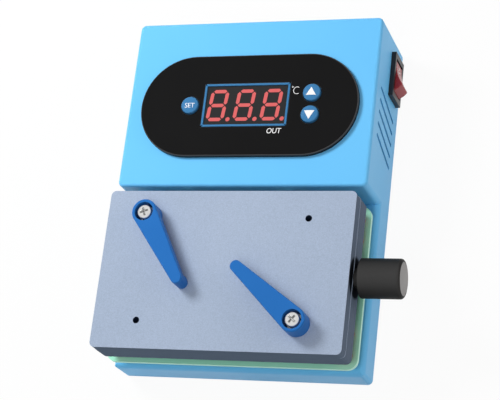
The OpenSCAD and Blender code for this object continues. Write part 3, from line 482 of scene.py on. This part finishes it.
for key, name, shape, spot in (
        ("set", "set_word", lettering("SET", set_size), set_spot),
        ("up", "up_arrow", arrowhead(*up_size), up_spot),
        ("down", "down_arrow", arrowhead(*down_size), down_spot)):
    print_flat(shape, name, at(*spot, cap_top), body=key + "_key", raised=print_high,
               surface=dome_under(*buttons[key]))

# Rocker switch: a translucent red rocker tips in a black bezel that snaps into the right wall. The
# marks for on and off are moulded on the two halves of its dished face.
bezel_black = finish_of("black switch bezel", (0.016, 0.017, 0.02), (0.012, 0.0125, 0.015), grain=4200,
                        cloud=90, gloss=0.36, spread=0.12, depth=0.015, Specular_IOR_Level=0.3)
rocker_red = finish_of("translucent red plastic", (0.36, 0.032, 0.042), (0.3, 0.022, 0.03), grain=3000,
                       cloud=150, gloss=0.26, depth=0.006, Specular_IOR_Level=0.28)
dress("switch_housing", "switch_bezel", [bezel_black], rounding=0.25, steps=3)
pivot = at(53.9, 132.0, 13.3)
rocker_reach = 7.5
rocker_waist = 3.9
rocker_round = 0.5
dish = 16.6
dish_turn = 20.0
cheek = 5.1
end_turn = 49.2
back_turn = 101.5
ridge_turn = 40
tilt = radians(17.3)
pin_radius = 1.0
pin_long = (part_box("switch_rocker")[1].z - pivot.z) * 2
tipped = Matrix.Translation(pivot) @ Matrix.Rotation(tilt, 4, "Z")
outline = arc(0, 0, rocker_reach, -back_turn, -end_turn, 8)
outline += arc(rocker_waist + dish, 0, dish, 180 + dish_turn, 180 - dish_turn, 10)[1:-1]
outline += arc(0, 0, rocker_reach, end_turn, back_turn, 8)
rocker = bmesh.new()
bmesh.ops.contextual_create(rocker, geom=[
    rocker.verts.new((out * mm, along * mm, -cheek * mm)) for out, along in outline])
thicken(rocker, 2 * cheek * mm)
ridges = [edge for edge in rocker.edges if edge.calc_face_angle(0) > radians(ridge_turn)]
bmesh.ops.bevel(rocker, geom=ridges, offset=rocker_round * mm, segments=4, profile=0.5,
                affect="EDGES", material=-1)
bmesh.ops.create_cone(rocker, cap_ends=True, segments=24, radius1=pin_radius * mm,
                      radius2=pin_radius * mm, depth=pin_long)
rocker.transform(tipped)
crease(rocker)
make_piece(rocker, "rocker", "rocker", [rocker_red], ["switch_rocker"])
mark_along = 3.0
mark_high = 0.08
line_wide, line_long = 0.5, 2.6
ring_radius, ring_hole = 1.3, 0.85
onto_face = Matrix(((0, 0, 1, 0), (1, 0, 0, 0), (0, 1, 0, 0), (0, 0, 0, 1)))
line = bmesh.new()
bmesh.ops.create_grid(line, x_segments=1, y_segments=1, size=0.5,
                      matrix=Matrix.Diagonal((line_wide * mm, line_long * mm, 1, 1)))
for name, half, mark in (("on_mark", -1, line), ("off_mark", 1, flat_ring(ring_radius, ring_hole))):
    thicken(mark, mark_high * mm)
    lean = Matrix.Rotation(-half * atan(mark_along / dish), 4, "Z")
    out = rocker_waist + mark_along ** 2 / (2 * dish)
    spot = Matrix.Translation((out * mm, half * mark_along * mm, 0))
    mark.transform(tipped @ spot @ lean @ onto_face)
    crease(mark)
    make_piece(mark, name, "rocker", [white_print])

# Mains inlet: a moulded black appliance inlet, pushed in from behind until its catches snap into the
# housing's rear wall. Its three pins are tinned brass, pressed through its floor.
pin_brass = finish_of("tinned brass", (0.72, 0.56, 0.3), (0.6, 0.45, 0.22), grain=2400, cloud=300,
                      gloss=0.28, spread=0.14, depth=0.006, Metallic=1.0)
dress("power_inlet", "mains_inlet_body", [bezel_black], rounding=0.3)
dress("inlet_pins", "mains_inlet_pins", [pin_brass], rounding=0.3)

# Insulation board: mint-green glass-fibre laminate, sawn to a rounded sheet. The cloth shows faintly
# through its face, and its sawn edge is paler, partly its own tone and partly a painted highlight. It
# stands on brass pillars and carries red bushes.
weave, given, result = effect("crossed threads", [("Threads", "value", 2000.0)],
                              [("Mask", "value"), ("Height", "value")])
scaled = add(weave, "VectorMath", add(weave, "TexCoord").outputs["Object"], operation="SCALE",
             Scale=given["Threads"])
axes = add(weave, "SeparateXYZ", scaled.outputs[0]).outputs
warp = maths(weave, "SINE", maths(weave, "ADD", axes[0], axes[2]), 0.0)
weft = maths(weave, "SINE", maths(weave, "SUBTRACT", axes[1], axes[2]), 0.0)
over = ramp_of(weave, maths(weave, "MULTIPLY", warp, weft), -1.0, 1.0)
feed(weave, result["Mask"], over)
feed(weave, result["Height"], over)


def overlay(material, pattern, scale, share, darker, depth=0.0):
    """Lays a pattern over a finish: a darker tone, and a relief of a depth in millimetres, if any."""
    tree = material.node_tree
    body = next(node for node in tree.nodes if node.type == "BSDF_PRINCIPLED")
    layer = tree.nodes.new("ShaderNodeGroup")
    layer.node_tree = pattern
    layer.label = pattern.name
    layer.inputs[0].default_value = scale
    colour = body.inputs["Base Color"].links[0].from_socket
    strength = maths(tree, "MULTIPLY", layer.outputs["Mask"], share)
    feed(tree, body.inputs["Base Color"], blend_of(tree, strength, colour, darker))
    if depth:
        under = body.inputs["Normal"].links[0].from_socket
        relief = add(tree, "Bump", Height=layer.outputs["Height"], Distance=depth * mm, Normal=under)
        feed(tree, body.inputs["Normal"], relief.outputs[0])


laminate = finish_of("mint glass laminate", (0.45, 0.98, 0.75), (0.4, 0.92, 0.69), grain=1800, cloud=60,
                     share=0.4, gloss=0.4, spread=0.14, depth=0.01, Specular_IOR_Level=0.2)
overlay(laminate, weave, 7000.0, share=0.35, darker=(0.34, 0.84, 0.61), depth=0.01)
# The sawn edge is paler than the face: partly the laminate's own tone, partly a painted highlight.
sawn_edge_with_highlight = finish_of("sawn laminate edge with painted highlight", (0.58, 0.98, 0.84), (0.52, 0.92, 0.78), grain=3000,
                          cloud=500, gloss=0.6, depth=0.03)
sleeve_red = finish_of("red insulating plastic", (0.52, 0.05, 0.035), (0.42, 0.035, 0.025), grain=3000,
                       cloud=200, gloss=0.45, depth=0.01)
brass = finish_of("turned brass", (0.66, 0.48, 0.2), (0.55, 0.38, 0.14), grain=2400, cloud=300,
                  gloss=0.3, spread=0.15, depth=0.006, Metallic=1.0)
board = joined_copy("insulation_board")
for face in board.faces:
    sawn = abs(face.normal.z) < 0.5
    face.material_index = 1 if sawn else 0
make_piece(board, "laminate_board", "station", [laminate, sawn_edge_with_highlight],
           ["insulation_board"], rounding=0.15)
dress("board_bushes", "screw_bushes", [sleeve_red], rounding=0.2)
dress("plate_sleeves", "spacer_sleeves", [sleeve_red], rounding=0.2)
dress("deck_pillars", "brass_pillars", [brass], rounding=0.15)
dress("board_screws", "board_pan_screws", [zinc], rounding=0.1)
dress("plate_screws", "plate_pan_screws", [zinc], rounding=0.1)

# Heating plate: a thick aluminium block, milled with a low ledge round its sides, then bead-blasted
# and anodised blue-grey. Four M3 holes are tapped in its face, two of them for the clamps.
blasted = finish_of("bead-blasted aluminium", (0.45, 0.54, 0.695), (0.33, 0.405, 0.53), grain=2300,
                    cloud=16, share=0.8, gloss=0.6, depth=0.04, Metallic=0.2)
# The sides are painted far darker than the blasted top: partly the milled finish, partly painted shade
# for sides that face away from the light and mirror darker surroundings.
milled_shaded_side = finish_of("milled aluminium side in painted shade", (0.15, 0.2, 0.275), (0.132, 0.177, 0.245), grain=1500,
                   cloud=40, share=0.6, depth=0.004, Specular_IOR_Level=0.0)
# Painted highlight: the plate's rounded edges, also round its holes, are painted lighter than its
# sides.
painted_edge_highlight = finish_of("painted highlight on the plate's edges", (0.34, 0.4, 0.5), (0.28, 0.34, 0.43), grain=1500,
                        cloud=60, gloss=0.45, depth=0.004, Metallic=0.2)
# Painted shade: the walls of the four holes are painted nearly black.
painted_hole_shade = finish_of("painted shade in the tapped holes", (0.02, 0.035, 0.075), (0.012, 0.022, 0.05), grain=2600,
                        cloud=200, gloss=0.6, depth=0.01, Specular_IOR_Level=0.05)
streak_stretch = 0.02
streak_low, streak_high = 0.35, 0.65
streaks, given, result = effect("milling streaks", [("Fineness", "value", 3000.0)],
                                [("Mask", "value"), ("Height", "value")])
axes = add(streaks, "SeparateXYZ", add(streaks, "TexCoord").outputs["Object"]).outputs
drawn = add(streaks, "CombineXYZ", maths(streaks, "MULTIPLY", axes[0], streak_stretch),
            maths(streaks, "MULTIPLY", axes[1], streak_stretch), axes[2])
lines = add(streaks, "TexNoise", Vector=drawn.outputs[0], Scale=given["Fineness"], Detail=3.0)
feed(streaks, result["Mask"], ramp_of(streaks, lines.outputs["Fac"], streak_low, streak_high))
feed(streaks, result["Height"], lines.outputs["Fac"])
overlay(milled_shaded_side, streaks, 3500.0, share=0.25, darker=(0.1, 0.135, 0.19), depth=0.004)

# Painted shade and reflection of the grip: the side is painted darker where the grip stands close over
# it, in a round patch about the grip's axis
grip_low, grip_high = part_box("handle_grip")
grip_middle = (grip_low + grip_high) / 2
shade_reach = 9.0
shade_full_share = 0.86
shade_starts, shade_whole = grip_low.x - 3 * mm, grip_low.x - 2 * mm
painted_grip_shade, given, result = effect("painted shade by the grip", [("Reach", "value", shade_reach)],
                                  [("Mask", "value")])
place = add(painted_grip_shade, "TexCoord").outputs["Object"]
apart = add(painted_grip_shade, "VectorMath", place, tuple(grip_middle), operation="SUBTRACT").outputs[0]
sideways = add(painted_grip_shade, "VectorMath", apart, (0, 1, 1), operation="MULTIPLY").outputs[0]
distance = add(painted_grip_shade, "VectorMath", sideways, operation="LENGTH").outputs["Value"]
reach = maths(painted_grip_shade, "MULTIPLY", given["Reach"], mm)
near = ramp_of(painted_grip_shade, distance, reach, maths(painted_grip_shade, "MULTIPLY", reach, shade_full_share))
across = add(painted_grip_shade, "SeparateXYZ", place).outputs[0]
right = ramp_of(painted_grip_shade, across, shade_starts, shade_whole)
feed(painted_grip_shade, result["Mask"], maths(painted_grip_shade, "MULTIPLY", near, right))
overlay(milled_shaded_side, painted_grip_shade, shade_reach, share=0.92, darker=(0.008, 0.009, 0.012))

clamps = {"left": (-34.3, 56.6), "right": (34.3, 12.3)}
hole_spots = [at(x * side, y) for x, y in clamps.values() for side in (1, -1)]
hole_reach = 1.7
plate_sharp = 30
face_up = 0.9
plate = joined_copy("heating_plate", plate_sharp)
# Up-facing faces are blasted, faces round the holes take the painted shade, and the rest is the side.
for face in plate.faces:
    out = min((face.calc_center_median() - spot).xy.length for spot in hole_spots)
    if face.normal.z > face_up:
        face.material_index = 0
    elif out < hole_reach * mm:
        face.material_index = 3
    else:
        face.material_index = 1
make_piece(plate, "heating_block", "station", [blasted, milled_shaded_side, painted_edge_highlight, painted_hole_shade],
           ["heating_plate"], rounding=0.2, rim=2)

# Heater rods and leads: two steel cartridge heaters and a probe sit in bores from the rear. Their
# leads bend down through rubber grommets in the deck; the heaters' leads have a white glass braid.
lead_braid = finish_of("white glass braid", (0.72, 0.71, 0.66), (0.6, 0.59, 0.54), grain=3000,
                       cloud=300, gloss=0.8, depth=0.02)
overlay(lead_braid, weave, 9000.0, share=0.5, darker=(0.45, 0.44, 0.4), depth=0.06)
dress("heater_leads", "braided_leads", [lead_braid])
dress("heater_rods", "cartridge_heaters", [zinc])
dress("temperature_probe", "probe_and_lead", [zinc])
dress("lead_grommets", "deck_grommets", [foot_rubber], rounding=0.2)

# Handle: a smooth black heat-proof grip turned with a short neck, screwed onto a steel stud in the
# plate's right side. A grey disc is let into its end.
grip_plastic = finish_of("smooth black grip", (0.055, 0.055, 0.055), (0.048, 0.048, 0.048), grain=3800,
                         cloud=70, gloss=0.45, depth=0.015, Specular_IOR_Level=0.04)
# Painted highlight and shade: the grip's black is lighter where it faces the view and deeper where it
# turns away.
tree = grip_plastic.node_tree
body = next(node for node in tree.nodes if node.type == "BSDF_PRINCIPLED")
plain_black = body.inputs["Base Color"].links[0].from_socket
painted_shade_black = (0.013, 0.0135, 0.014)
turns_from, turns_to = 0.05, 0.6
painted_shade_share = ramp_of(tree, add(tree, "LayerWeight", 0.5).outputs["Facing"], turns_from, turns_to)
feed(tree, body.inputs["Base Color"], blend_of(tree, painted_shade_share, plain_black, painted_shade_black))
disc_grey = finish_of("grey end disc", (0.26, 0.26, 0.26), (0.23, 0.23, 0.23), grain=4200, cloud=120,
                      depth=0.012)
grip_start = Vector((grip_low.x, grip_middle.y, grip_middle.z))
grip_long = (grip_high.x - grip_low.x) / mm
grip_radius = (grip_high.z - grip_low.z) / 2 / mm
grip_round = 1.3
back_round = 0.5
stud_radius = 2.6
stud_deep = 13.0
neck_radius = 3.9
neck_long = 2.4
disc_radius = 6.8
disc_middle = 3.0
disc_round = 0.12
disc_thick = 0.75
disc_side = 0.15
seat_radius = disc_radius + 0.02
seat_deep = 0.8
seat_edge = 0.1
profile = [(0, stud_deep), (stud_radius, stud_deep), (stud_radius, 0), (neck_radius, 0),
           (neck_radius, neck_long)]
profile += arc(grip_radius - back_round, neck_long + back_round, back_round, -90, 0, 4)
profile += arc(grip_radius - grip_round, grip_long - grip_round, grip_round, 0, 90, 8)
profile += [(seat_radius + seat_edge, grip_long), (seat_radius, grip_long - seat_edge),
            (seat_radius, grip_long - seat_deep), (0, grip_long - seat_deep)]
make_piece(spun(profile, grip_start, 96, (1, 0, 0)), "grip", "station", [grip_plastic],
           ["handle_grip"])
profile = [(0, grip_long - disc_thick), (disc_radius, grip_long - disc_thick),
           (disc_radius, grip_long - disc_side)]
profile += arc(disc_radius - disc_round, grip_long - disc_round, disc_round, 0, 90, 3)
profile += [(disc_middle, grip_long), (0, grip_long)]
make_piece(spun(profile, grip_start, 96, (1, 0, 0)), "grip_end_disc", "station",
           [disc_grey], ["handle_cap"])
dress("handle_stud", "grip_stud", [zinc], rounding=0.2)

# Clamps: each is a blue anodised bridge arm on a shouldered cross-head screw. A coil spring under the
# screw's head presses the arm down, and the arm lifts and swings to hold a board by its edge.
arm_blue = finish_of("blue anodised aluminium", (0.026, 0.17, 0.52), (0.022, 0.15, 0.47), grain=2600,
                     cloud=60, gloss=0.45, spread=0.12, depth=0.012, Specular_IOR_Level=0.12)
screw_steel = finish_of("nickel-plated screw steel", (0.75, 0.75, 0.745), (0.63, 0.63, 0.625),
                        grain=1800, cloud=500, gloss=0.34, spread=0.2, depth=0.01, Metallic=0.85)
# Painted shade: the cross recess is given a slightly darker, duller steel than the head.
shaded_recess_steel = finish_of("punched recess in painted shade", (0.7, 0.7, 0.695), (0.52, 0.52, 0.515), grain=2200,
                         cloud=700, share=0.4, gloss=0.42, spread=0.2, depth=0.01, Metallic=0.7)
spring_steel = finish_of("spring steel wire", (0.6, 0.59, 0.57), (0.5, 0.49, 0.47), grain=2400,
                         cloud=500, gloss=0.28, spread=0.12, depth=0.006, Metallic=1.0)
arm_sharp = 38
screw_turns = {"left": 20, "right": 51}
thread_end = 38.9
thread_point = 1.1
thread_radius = 1.35
thread_taper = 0.5
plate_top = 46.7
shoulder_radius = 1.5
head_low = 52.65
head_radius = 3.05
head_chamfer = 0.15
head_edge = 0.75
head_side = 1.62
head_sharp = 30
crown_steps = [(1.5, 1.8), (0.75, 1.88), (0, 1.9)]
recess_top = (4.7, 1.1, 2.3)
recess_floor = (1.9, 0.45, 0.5)
turns = 4.0
wire = 0.22
wire_sides = 10
coil = 2.55
turn_steps = 28
end_climb = 0.5
spring_low, spring_high = 49.25, head_low


def recess_wedge(turn):
    """Tapered blade that the head's recess is punched with, turned by so many degrees."""
    wedge = bmesh.new()
    bmesh.ops.create_cube(wedge, size=1.0)
    for vert in wedge.verts:
        long, wide, high = recess_top if vert.co.z > 0 else recess_floor
        vert.co = Vector((vert.co.x * long, vert.co.y * wide, head_low + high)) * mm
    bmesh.ops.rotate(wedge, verts=wedge.verts, cent=(0, 0, 0),
                     matrix=Matrix.Rotation(radians(turn), 3, "Z"))
    for face in wedge.faces:
        face.material_index = 1
    return object_of(wedge, "wedge", [screw_steel, shaded_recess_steel])


def cross_head_screw(centre, turned):
    """Pan head with a tapered cross recess, on a shoulder that runs into a finer thread."""
    profile = [(0, thread_end), (thread_point, thread_end), (thread_radius, thread_end + thread_taper),
               (thread_radius, plate_top), (shoulder_radius, plate_top), (shoulder_radius, head_low),
               (head_radius - head_chamfer, head_low), (head_radius, head_low + head_chamfer)]
    profile += arc(head_radius - head_edge, head_low + head_side - head_edge, head_edge, 0, 70, 5)
    profile += [(out, head_low + high) for out, high in crown_steps]
    blank = object_of(spun(profile, (0, 0, 0), 48), "screw", [screw_steel, shaded_recess_steel])
    wedges = [recess_wedge(turned), recess_wedge(turned + 90)]
    for wedge in wedges:
        cut = blank.modifiers.new("recess", "BOOLEAN")
        cut.object = wedge
        cut.solver = "EXACT"
    cut_mesh = bpy.data.meshes.new_from_object(blank.evaluated_get(
        bpy.context.evaluated_depsgraph_get()))
    for spare in [blank, *wedges]:
        bpy.data.objects.remove(spare)
    shape = bmesh.new()
    shape.from_mesh(cut_mesh)
    bmesh.ops.translate(shape, verts=shape.verts, vec=centre)
    crease(shape, head_sharp)
    return shape


def coil_spring(centre):
    """Wire circle swept round and up, its first and last turn lying nearly flat."""
    shape = bmesh.new()
    bmesh.ops.create_circle(shape, cap_ends=True, segments=wire_sides, radius=wire * mm,
                            matrix=Matrix.Translation((coil * mm, 0, (spring_low + wire) * mm))
                            @ Matrix.Rotation(pi / 2, 4, "X"))
    ring = shape.edges[:] + shape.verts[:] + shape.faces[:]
    rise = spring_high - spring_low - 2 * wire
    flat_climb = end_climb / rise
    for part, climb in ((1.0, flat_climb), (turns - 2, 1 - 2 * flat_climb), (1.0, flat_climb)):
        steps = round(turn_steps * part)
        swept = bmesh.ops.spin(shape, geom=ring, cent=(0, 0, 0), axis=(0, 0, 1), angle=2 * pi * part,
                               dvec=(0, 0, climb * rise * mm / steps), steps=steps, use_merge=False,
                               use_duplicate=False)
        ring = swept["geom_last"]
    bmesh.ops.remove_doubles(shape, verts=shape.verts, dist=same_point * mm)
    bmesh.ops.recalc_face_normals(shape, faces=shape.faces)
    bmesh.ops.translate(shape, verts=shape.verts, vec=centre)
    crease(shape)
    return shape


for side, spot in clamps.items():
    dress(side + "_clamp_arm", side + "_bridge_arm", [arm_blue], rounding=0.15,
          body=side + "_arm", sharp=arm_sharp)
    dress(side + "_clamp_washer", side + "_spring_washer", [zinc], rounding=0.08,
          body=side + "_lift")
    make_piece(cross_head_screw(at(*spot), screw_turns[side]), side + "_cross_head_screw", "station",
               [screw_steel, shaded_recess_steel], [side + "_clamp_screw"])
    spring = make_piece(coil_spring(at(*spot)), side + "_coil_spring", "station",
                        [spring_steel], [side + "_clamp_spring"])
    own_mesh(spring)

# Electronics: the display module, keys and two green circuit boards with their screws, transformer,
# relay and terminals sit inside the closed housing, soldered and screwed down.
board_green = finish_of("green solder mask", (0.02, 0.15, 0.06), (0.014, 0.11, 0.045), grain=2500,
                        cloud=200, gloss=0.35, spread=0.12, depth=0.01)
part_black = finish_of("black moulded part", (0.03, 0.03, 0.031), (0.02, 0.02, 0.021), grain=3000,
                       cloud=200, spread=0.12)
tape_yellow = finish_of("yellow winding tape", (0.66, 0.46, 0.07), (0.52, 0.35, 0.05), grain=1500,
                        cloud=300, gloss=0.45, spread=0.15, depth=0.03)
relay_blue = finish_of("blue relay case", (0.05, 0.14, 0.5), (0.04, 0.11, 0.42), grain=3000, cloud=150,
                       gloss=0.4)
block_green = finish_of("green terminal plastic", (0.03, 0.3, 0.12), (0.022, 0.24, 0.09), grain=3000,
                        cloud=150, gloss=0.45)
for names, finish in (
        (("display_module", "key_switches"), part_black),
        (("control_board", "power_board"), board_green),
        (("control_board_screws", "power_board_screws"), zinc),
        (("power_transformer",), tape_yellow),
        (("power_relay",), relay_blue),
        (("terminal_block",), block_green),
        (("switch_terminals", "set_plunger", "up_plunger", "down_plunger"), brass)):
    for node in names:
        for hold in nodes[node].material_slots:
            hold.material = finish

# Bench: a wide sheet of white paper under the station. It shows white to the camera and in anything
# bright that mirrors it, keeps a faint shadow of what stands on it, and is clear from below.
bench_half = 4.0
glow_share = 0.94
paper = bpy.data.materials.new("white bench paper")
paper.use_nodes = True
tree = paper.node_tree
tree.nodes.clear()
fibre = add(tree, "TexNoise", Vector=add(tree, "TexCoord").outputs["Object"], Scale=900.0, Detail=3.0)
pulp = blend_of(tree, fibre.outputs["Fac"], (0.86, 0.86, 0.86), (0.83, 0.83, 0.83))
matt = add(tree, "BsdfDiffuse", Color=pulp)
glow = add(tree, "Emission", (1.0, 1.0, 1.0), 1.0)


def seen_directly(tree):
    """1 for what the camera sees, also in a mirror or through glass, and 0 for falling light."""
    path = add(tree, "LightPath").outputs
    mirrored = maths(tree, "MAXIMUM", path["Is Glossy Ray"], path["Is Transmission Ray"])
    return maths(tree, "MAXIMUM", path["Is Camera Ray"], mirrored)


glowing = maths(tree, "MULTIPLY", seen_directly(tree), glow_share)
lit = add(tree, "MixShader", glowing, matt.outputs[0], glow.outputs[0])
below = add(tree, "MixShader", add(tree, "NewGeometry").outputs["Backfacing"], lit.outputs[0],
            add(tree, "BsdfTransparent").outputs[0])
tree.links.new(below.outputs[0], add(tree, "OutputMaterial").inputs[0])
sheet = bmesh.new()
bmesh.ops.create_grid(sheet, x_segments=2, y_segments=2, size=bench_half)
bench = object_of(sheet, "bench_sheet", [paper])

# Studio: a white surround and three soft round lamps. The key lamp stands high on the left, a wide
# warm one low on the right, and a wide one above the front.
world = bpy.data.worlds.new("white studio")
bpy.context.scene.world = world
world.use_nodes = True
tree = world.node_tree
tree.nodes.clear()
plain = add(tree, "Background", (1.0, 1.0, 1.0), 0.15)
bright = add(tree, "Background", (1.0, 1.0, 1.0), 1.0)
surround = add(tree, "MixShader", seen_directly(tree), plain.outputs[0], bright.outputs[0])
tree.links.new(surround.outputs[0], add(tree, "OutputWorld").inputs[0])


def soft_lamp(name, spot, aim, width, power, tint=(1, 1, 1)):
    lamp = bpy.data.lights.new(name, "AREA")
    lamp.shape = "DISK"
    lamp.size = width
    lamp.energy = power
    lamp.color = tint
    holder = bpy.data.objects.new(name, lamp)
    holder.location = spot
    holder.rotation_euler = (Vector(aim) - Vector(spot)).to_track_quat("-Z", "Y").to_euler()
    holder.visible_glossy = False
    bpy.context.scene.collection.objects.link(holder)


soft_lamp("key_lamp", (-0.36, 0.23, 0.5), (0, 0, 0.03), 0.24, 3.3)
soft_lamp("side_lamp", (0.9, 0.1, 0.25), (0, 0, 0.02), 0.6, 2.4, (1.0, 0.86, 0.8))
soft_lamp("front_lamp", (0.1, -0.5, 1.1), (0, 0, 0.03), 0.6, 4.2)

# Camera: a long lens looks down on the station from the front right. Its place and turn were solved
# from where the corners of the housing, panel and plate lie in the picture.
view_data = bpy.data.cameras.new("camera")
view_data.sensor_width = 36.0
view_data.lens = 120.377
view_data.clip_start = 0.01
camera = bpy.data.objects.new("camera", view_data)
camera.rotation_mode = "QUATERNION"
camera.rotation_quaternion = Quaternion((0.970881, 0.174254, 0.161643, 0.029966))
camera.location = (0.22064, -0.23583, 0.65244)
bpy.context.scene.collection.objects.link(camera)
bpy.context.scene.camera = camera
bpy.context.scene.view_settings.view_transform = "Standard"
